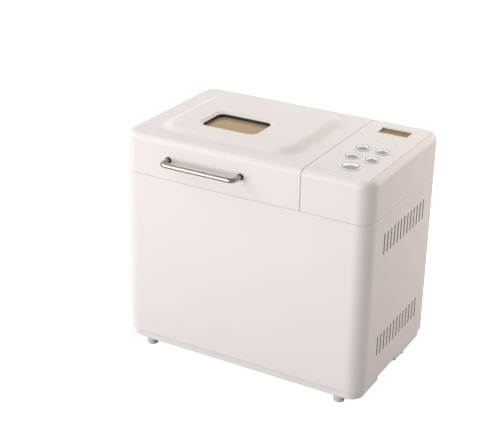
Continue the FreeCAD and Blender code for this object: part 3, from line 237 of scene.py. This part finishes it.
def non_stick(name):
    """Dark coated aluminium with small pale flecks."""
    s = Shader(name, (0.03, 0.03, 0.032), 0.36, 0.35)
    fleck = s.span(s.cells(0.0016), 0.10, 0.17, 1.0, 0.0)
    size = s.span(s.noise(0.004, 2.0), 0.5, 0.62)
    base = s.mix(s.noise(0.03, 3.0), (0.026, 0.026, 0.028), (0.042, 0.041, 0.042))
    s.set("Base Color", s.mix(s.math("MULTIPLY", fleck, size), base, (0.3, 0.29, 0.28)))
    s.set("Roughness", s.span(s.noise(0.0009, 2.0), 0.3, 0.7, 0.3, 0.46))
    s.bump(s.noise(0.0008, 2.0), 0.4, 0.00003)
    return s


def soft_rubber(name, colour=(0.022, 0.022, 0.023)):
    s = Shader(name, colour, 0.75)
    dusty = [c + 0.03 for c in colour]
    s.set("Base Color", s.mix(s.span(s.noise(0.006, 4.0), 0.4, 0.75), colour, dusty))
    s.set("Roughness", s.span(s.noise(0.001, 2.0), 0.3, 0.7, 0.62, 0.85))
    s.bump(s.noise(0.0007, 2.0), 0.5, 0.00004)
    return s


def heater_steel(name):
    """The heater's sheath: dark oxide with straw and blue heat tints."""
    s = Shader(name, (0.12, 0.1, 0.09), 0.42, 0.85)
    heat = s.noise(0.02, 3.0, (1.0, 1.0, 4.0))
    tint = s.mix(s.span(heat, 0.35, 0.6), (0.075, 0.062, 0.058), (0.16, 0.115, 0.075))
    s.set("Base Color", s.mix(s.span(heat, 0.6, 0.8), tint, (0.09, 0.1, 0.14)))
    s.set("Roughness", s.span(s.noise(0.002, 2.0), 0.3, 0.7, 0.34, 0.55))
    s.bump(s.noise(0.0012, 3.0), 0.4, 0.00003)
    return s


def pane(name, colour, alpha, roughness=0.06):
    """Tinted glass with faint smears."""
    s = Shader(name, colour, roughness)
    smear = s.noise(0.03, 4.0, (1.0, 2.5, 1.0))
    shade = s.mix(smear, [c * 0.9 for c in colour], [min(1, c * 1.06) for c in colour])
    s.set("Base Color", shade)
    s.set("Roughness", s.span(smear, 0.4, 0.75, roughness, roughness + 0.08))
    s.set("Alpha", alpha)
    s.set("Specular IOR Level", 0.12)
    s.bump(s.noise(0.05, 2.0), 0.05, 0.0001)
    return s


def laminate(name):
    """Green circuit board with the fine lines of its tracks."""
    s = Shader(name, (0.02, 0.13, 0.05), 0.35)
    track = s.node("ShaderNodeTexBrick", {"offset": 0.37}, {
        "Vector": s.place, "Scale": 260.0, "Mortar Size": 0.03, "Brick Width": 1.7,
        "Color1": (0.02, 0.12, 0.045, 1), "Color2": (0.025, 0.15, 0.06, 1),
        "Mortar": (0.07, 0.27, 0.12, 1)})
    s.set("Base Color", track.outputs["Color"])
    s.set("Roughness", s.span(s.noise(0.004, 2.0), 0.3, 0.7, 0.28, 0.42))
    s.bump(track.outputs["Fac"], 0.3, 0.00003)
    return s


def wound(name):
    """Varnished paper and copper of small coils and cans."""
    s = Shader(name, (0.05, 0.05, 0.06), 0.5)
    turns = s.noise(0.0009, 2.0, (0.15, 0.15, 1.0))
    s.set("Base Color", s.mix(s.span(turns, 0.4, 0.6), (0.035, 0.035, 0.045), (0.11, 0.09, 0.07)))
    s.set("Roughness", s.span(turns, 0.3, 0.7, 0.4, 0.6))
    s.bump(turns, 0.4, 0.00005)
    return s


def liquid_crystal(name):
    """The display behind its lens: gold-brown, with a faint grid of picture cells."""
    s = Shader(name, (0.42, 0.25, 0.05), 0.4)
    grid = s.node("ShaderNodeTexBrick", {"offset": 0.0}, {
        "Vector": s.place, "Scale": 900.0, "Mortar Size": 0.06, "Brick Width": 0.5,
        "Color1": (0.44, 0.228, 0.032, 1), "Color2": (0.42, 0.217, 0.029, 1),
        "Mortar": (0.37, 0.205, 0.035, 1)})
    glow = s.mix(s.span(s.noise(0.02, 2.0), 0.3, 0.7), (0.92, 0.9, 0.86), (1.0, 1.0, 1.0))
    s.set("Base Color", s.mix(1.0, grid.outputs["Color"], glow, "MULTIPLY"))
    s.set("Roughness", s.span(s.noise(0.003, 2.0), 0.3, 0.7, 0.24, 0.36))
    s.set("Specular IOR Level", 0.15)
    s.bump(s.noise(0.0012, 2.0), 0.2, 0.00001)
    return s


# ---------------------------------------------------------------- materials on the CAD nodes

WHITE = (0.70, 0.655, 0.642)
PALE_GREY = (0.50, 0.48, 0.47)
KEYS = ("start", "menu", "crust", "size", "timer")

finishes = {
    "white_casing": moulded("casing_white", WHITE, 0.47, painted_shade_strength=0.94, seams=True),
    "grey_plastic": moulded("moulded_grey", PALE_GREY, 0.42),
    "dark_plastic": moulded("moulded_dark", (0.035, 0.035, 0.037), 0.48, painted_shade_strength=0.2),
    "bright_trim": brushed("plated_trim", (0.86, 0.85, 0.84), 0.14, (1.0, 1.0, 0.2), 0.000004),
    "polished_steel": brushed("polished_steel", (0.43, 0.395, 0.355), 0.29, (0.05, 1.0, 1.0)),
    "black_rubber": soft_rubber("rubber_black"),
    "clear_glass": pane("glass_clear", (0.62, 0.56, 0.46), 0.35),
    "amber_lens": pane("lens_amber", (0.40, 0.25, 0.08), 0.25, 0.05),
    "lamp_lens": pane("lens_white", (0.86, 0.85, 0.83), 0.85, 0.12),
    "galvanised_sheet": sheet_metal("galvanised_sheet", (0.60, 0.595, 0.58), 0.44),
    "nonstick_coat": non_stick("non_stick_coat"),
    "turned_steel": brushed("turned_steel", (0.62, 0.61, 0.60), 0.28, (1.0, 1.0, 0.06)),
    "cast_zinc": moulded("cast_zinc", (0.42, 0.42, 0.43), 0.5, 0.0015, 0.00005),
    "bronze": brushed("sintered_bronze", (0.52, 0.33, 0.16), 0.38, (1.0, 1.0, 0.3)),
    "ceramic": moulded("ceramic_body", (0.78, 0.75, 0.68), 0.6, 0.001, 0.00003),
    "board_laminate": laminate("board_laminate"),
    "electric_parts": wound("electric_parts"),
}
finishes["cast_zinc"].set("Metallic", 0.9)


def middle_of(name):
    low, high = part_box(name)
    return (low + high) / 2


def dress(name, shader):
    """Give a CAD node a material."""
    slots = nodes[name].data.materials
    slots.clear()
    slots.append(shader.material)


for part in frame["record"]["subparts"]:
    if part["material_slot"] in finishes:
        dress(part["node"], finishes[part["material_slot"]])

for key in KEYS:
    name = f"{key}_button"
    silver = turned(f"silver_{name}", (0.87, 0.845, 0.82), 0.24, middle_of(name))
    silver.set("Metallic", 0.9)
    silver.set("Coat Weight", 0.3)
    silver.set("Coat Roughness", 0.06)
    dress(name, silver)

ring = brushed("plated_rings", (0.84, 0.82, 0.80), 0.20, (1.0, 1.0, 0.2), 0.000004)
# painted shade in the gap round each ring
ring.set("Base Color", shaded_gaps(ring, ring.mix(ring.noise(0.004), (0.78, 0.76, 0.745),
                                                  (0.84, 0.82, 0.80))))
ring.set("Metallic", 0.15)
dress("button_rings", ring)

bezel = brushed("bezel_trim", (0.72, 0.695, 0.68), 0.32, (1.0, 1.0, 0.2), 0.000004)
bezel.set("Metallic", 0.2)
dress("display_bezel", bezel)

dress("heating_element", heater_steel("heater_sheath"))
dress("lcd_module", liquid_crystal("display_cells"))
dress("window_glass", pane("window_tan", (0.415, 0.29, 0.136), 0.90, 0.10))
dress("inner_glass", pane("glass_inner", (0.45, 0.38, 0.28), 0.5, 0.08))
dress("top_deck", finishes["white_casing"])
dress("hinge_brackets", finishes["white_casing"])
dress("front_feet", moulded("foot_grey", (0.60, 0.575, 0.562), 0.34))


# ---------------------------------------------------------------- pieces added to the frame

# The casing's own measures in millimetres, as seen from its front left corner on the table.
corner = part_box("body_shell")[0]
CASE_WIDTH = 345
CASE_DEPTH = 215
CASE_TOP = 303
CORNER = 20
TOP_EDGE = 8
LEDGE_SET_BACK = 0.9
LEDGE_WIDTH = 1.3
LEDGE_THICKNESS = 0.66
SEAM_LEDGE_TOP = 249.98
PANEL_LEDGE_LEFT = 253.2
PANEL_LEDGE_FOOT = 250.4
OPEN_BACK = (40, 216)


def at(x, y, z):
    """A point given in millimetres from the casing's front left corner on the table."""
    return Vector((corner[0], corner[1], 0)) + Vector((x, y, z)) * MM


def solid(name, shape, shader, body="casing"):
    """Turn a bmesh into a piece that rides on a body."""
    bmesh.ops.recalc_face_normals(shape, faces=shape.faces)
    mesh = bpy.data.meshes.new(name)
    shape.to_mesh(mesh)
    shape.free()
    piece = bpy.data.objects.new(name, mesh)
    bpy.context.scene.collection.objects.link(piece)
    mesh.materials.append(shader.material)
    for face in mesh.polygons:
        face.use_smooth = True
    mesh.set_sharp_from_angle(angle=math.radians(35))
    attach(piece, body)
    return piece


def arc(centre, radius, start, end, steps=10):
    """Points of an arc in a plane, from one angle in degrees to another."""
    turns = [math.radians(start + (end - start) * k / steps) for k in range(steps + 1)]
    return [(centre[0] + radius * math.cos(t), centre[1] + radius * math.sin(t)) for t in turns]


def strip(name, outer, inner, low, high, place, shader, body="casing"):
    """A thin solid between two matching lines, extruded from low to high."""
    shape = bmesh.new()
    rows = []
    for (a, b), (c, d) in zip(outer, inner):
        corners = ((a, b, low), (a, b, high), (c, d, high), (c, d, low))
        rows.append([shape.verts.new(at(*place(*corner))) for corner in corners])
    for first, second in zip(rows, rows[1:]):
        for k in range(4):
            shape.faces.new((first[k], first[(k + 1) % 4], second[(k + 1) % 4], second[k]))
    shape.faces.new(rows[0])
    shape.faces.new(rows[-1][::-1])
    return solid(name, shape, shader, body)


def round_casing(inset):
    """The casing's outline seen from above, open at its back where the lid's hinges are."""
    radius = CORNER - inset
    near, right, back = CORNER, CASE_WIDTH - CORNER, CASE_DEPTH - CORNER
    line = [(OPEN_BACK[0], CASE_DEPTH - inset)]
    line += arc((near, back), radius, 90, 180)
    line += arc((near, near), radius, 180, 270)
    line += arc((right, near), radius, 270, 360)
    line += arc((right, back), radius, 0, 90)
    return line + [(OPEN_BACK[1], CASE_DEPTH - inset)]


def over_the_top(inset):
    """The upper band's outline seen from the side: up the front, over the top, down the back."""
    radius = TOP_EDGE - inset
    line = [(inset, PANEL_LEDGE_FOOT)]
    line += arc((TOP_EDGE, CASE_TOP - TOP_EDGE), radius, 180, 90)
    line += arc((CASE_DEPTH - TOP_EDGE, CASE_TOP - TOP_EDGE), radius, 90, 0)
    return line + [(CASE_DEPTH - inset, PANEL_LEDGE_FOOT)]


# Shallow ledges that close the seams a little way behind the skin.
for name, outline, start, place in (
        ("seam_ledge", round_casing, SEAM_LEDGE_TOP - LEDGE_THICKNESS, lambda x, y, z: (x, y, z)),
        ("panel_ledge", over_the_top, PANEL_LEDGE_LEFT, lambda y, z, x: (x, y, z))):
    strip(name, outline(LEDGE_SET_BACK), outline(LEDGE_SET_BACK + LEDGE_WIDTH),
          start, start + LEDGE_THICKNESS, place, finishes["white_casing"])


def inlay(name, top, length, width, shader, sunk=0.27, body="casing"):
    """A thin printed bar sunk below a point, with rounded ends and a softened rim."""
    shape = bmesh.new()
    half = length / 2 - width / 2
    rings = []
    for drawn_in, depth in ((0.0, sunk), (0.0, 0.04), (0.08, 0.0)):
        radius = width / 2 - drawn_in
        line = arc((half, 0), radius, -90, 90, 8) + arc((-half, 0), radius, 90, 270, 8)
        rings.append([shape.verts.new(top + Vector((x, y, -depth)) * MM) for x, y in line])
    for lower, upper in zip(rings, rings[1:]):
        for k in range(len(lower)):
            n = (k + 1) % len(lower)
            shape.faces.new((lower[k], lower[n], upper[n], upper[k]))
    shape.faces.new(rings[0][::-1])
    shape.faces.new(rings[-1])
    return solid(name, shape, shader, body)


def ink(name, colour):
    """Printed ink: matt, with a faint mottle."""
    s = Shader(name, colour, 0.55)
    s.set("Base Color", s.mix(s.noise(0.0008, 2.0), [c * 0.9 for c in colour], colour))
    s.set("Roughness", s.span(s.noise(0.0015, 2.0), 0.3, 0.7, 0.45, 0.65))
    s.bump(s.noise(0.0005, 2.0), 0.2, 0.00001)
    return s


pale_ink = ink("ink_pale", (0.50, 0.47, 0.46))
grey_ink = ink("ink_grey", (0.30, 0.28, 0.27))
mark_height = CASE_TOP + 0.07
inlay("mark_left_lamp", at(289.5, 136.2, mark_height), 7.0, 1.1, pale_ink)
inlay("mark_right_lamp", at(315.2, 136.2, mark_height), 7.0, 1.1, pale_ink)
for k in range(5):
    inlay(f"mark_panel_{k}", at(263.0 + 4.6 * k, 18.2, mark_height), 3.6, 0.6, grey_ink)
for key in KEYS:
    low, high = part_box(f"{key}_button")
    crown = Vector(((low[0] + high[0]) / 2, (low[1] + high[1]) / 2, high[2] + 0.06 * MM))
    inlay(f"mark_{key}_key", crown, 4.4 if key == "start" else 3.2, 0.9, grey_ink,
          sunk=0.5, body=f"{key}_key")


# ---------------------------------------------------------------- studio

def seen_by_eye(tree, otherwise, to_eye):
    """A strength that differs between what is looked at and what sheds light on the machine."""
    path = tree.nodes.new("ShaderNodeLightPath")
    strength = tree.nodes.new("ShaderNodeMapRange")
    strength.inputs["To Min"].default_value = otherwise
    strength.inputs["To Max"].default_value = to_eye
    tree.links.new(path.outputs["Is Camera Ray"], strength.inputs["Value"])
    return strength.outputs["Result"]


def floor(radius, colour, glow):
    """A round pale floor; past its rim the room is just as white."""
    shape = bmesh.new()
    bmesh.ops.create_circle(shape, cap_ends=True, segments=96, radius=radius)
    mesh = bpy.data.meshes.new("studio_floor")
    shape.to_mesh(mesh)
    shape.free()
    piece = bpy.data.objects.new("studio_floor", mesh)
    bpy.context.scene.collection.objects.link(piece)
    s = Shader("studio_floor", colour, 0.85)
    s.set("Base Color", s.mix(s.noise(0.6, 2.0), [c * 0.99 for c in colour], colour))
    s.set("Emission Color", (1, 1, 1, 1))
    s.set("Emission Strength", seen_by_eye(s.tree, 0.0, glow))
    mesh.materials.append(s.material)


def area_light(name, azimuth, elevation, distance, width, height, power, colour=(1, 1, 1)):
    """A soft box that looks at the machine; azimuth 0 is in front, 90 at its right."""
    data = bpy.data.lights.new(name, "AREA")
    data.shape = "RECTANGLE"
    data.size, data.size_y = width, height
    data.energy = power
    data.color = colour
    lamp = bpy.data.objects.new(name, data)
    bpy.context.scene.collection.objects.link(lamp)
    a, e = math.radians(azimuth), math.radians(elevation)
    away = Vector((math.sin(a) * math.cos(e), -math.cos(a) * math.cos(e), math.sin(e)))
    target = Vector((0, 0, 0.16))
    lamp.location = target + away * distance
    lamp.rotation_mode = "QUATERNION"
    lamp.rotation_quaternion = (-away).to_track_quat("-Z", "Y")
    return lamp


def surroundings(seen, glow):
    """A white room: seen is how bright it looks behind the machine, glow what it sheds."""
    world = bpy.data.worlds.new("studio")
    bpy.context.scene.world = world
    world.use_nodes = True
    shade = world.node_tree.nodes["Background"]
    world.node_tree.links.new(seen_by_eye(world.node_tree, glow, seen), shade.inputs["Strength"])
    shade.inputs["Color"].default_value = (1, 1, 1, 1)


floor(1.5, (0.45, 0.45, 0.45), 0.92)
surroundings(1.05, 0.39)
area_light("key", -64, 34, 2.6, 2.2, 1.8, 37)
area_light("front", -22, 6, 2.6, 2.2, 1.2, 47)
area_light("side", 137, 22, 1.0, 1.1, 0.8, 7.3, (1.0, 0.92, 0.84))
area_light("backdrop", -153, 15, 2.4, 2.8, 1.6, 13, (1.0, 0.985, 0.97))
rear = area_light("rear", -150, 62, 2.6, 1.8, 1.8, 16.5)
rear.visible_glossy = False


def camera():
    """The photograph's viewpoint: a short way above, from the front right."""
    data = bpy.data.cameras.new("camera")
    data.sensor_fit = "HORIZONTAL"
    data.sensor_width = 36.0
    data.lens = 87.58
    data.clip_start, data.clip_end = 0.05, 50.0
    eye = bpy.data.objects.new("camera", data)
    bpy.context.scene.collection.objects.link(eye)
    about = math.radians(28.826)
    down = math.radians(24.328)
    roll = math.radians(1.221)
    eye.matrix_world = (Matrix.Translation((0.6652, -1.2793, 0.8306))
                        @ Matrix.Rotation(about, 4, "Z")
                        @ Matrix.Rotation(math.pi / 2 - down, 4, "X")
                        @ Matrix.Rotation(roll, 4, "Z"))
    bpy.context.scene.camera = eye


camera()
bpy.context.scene.view_settings.view_transform = "Standard"
bpy.context.scene.view_settings.look = "None"
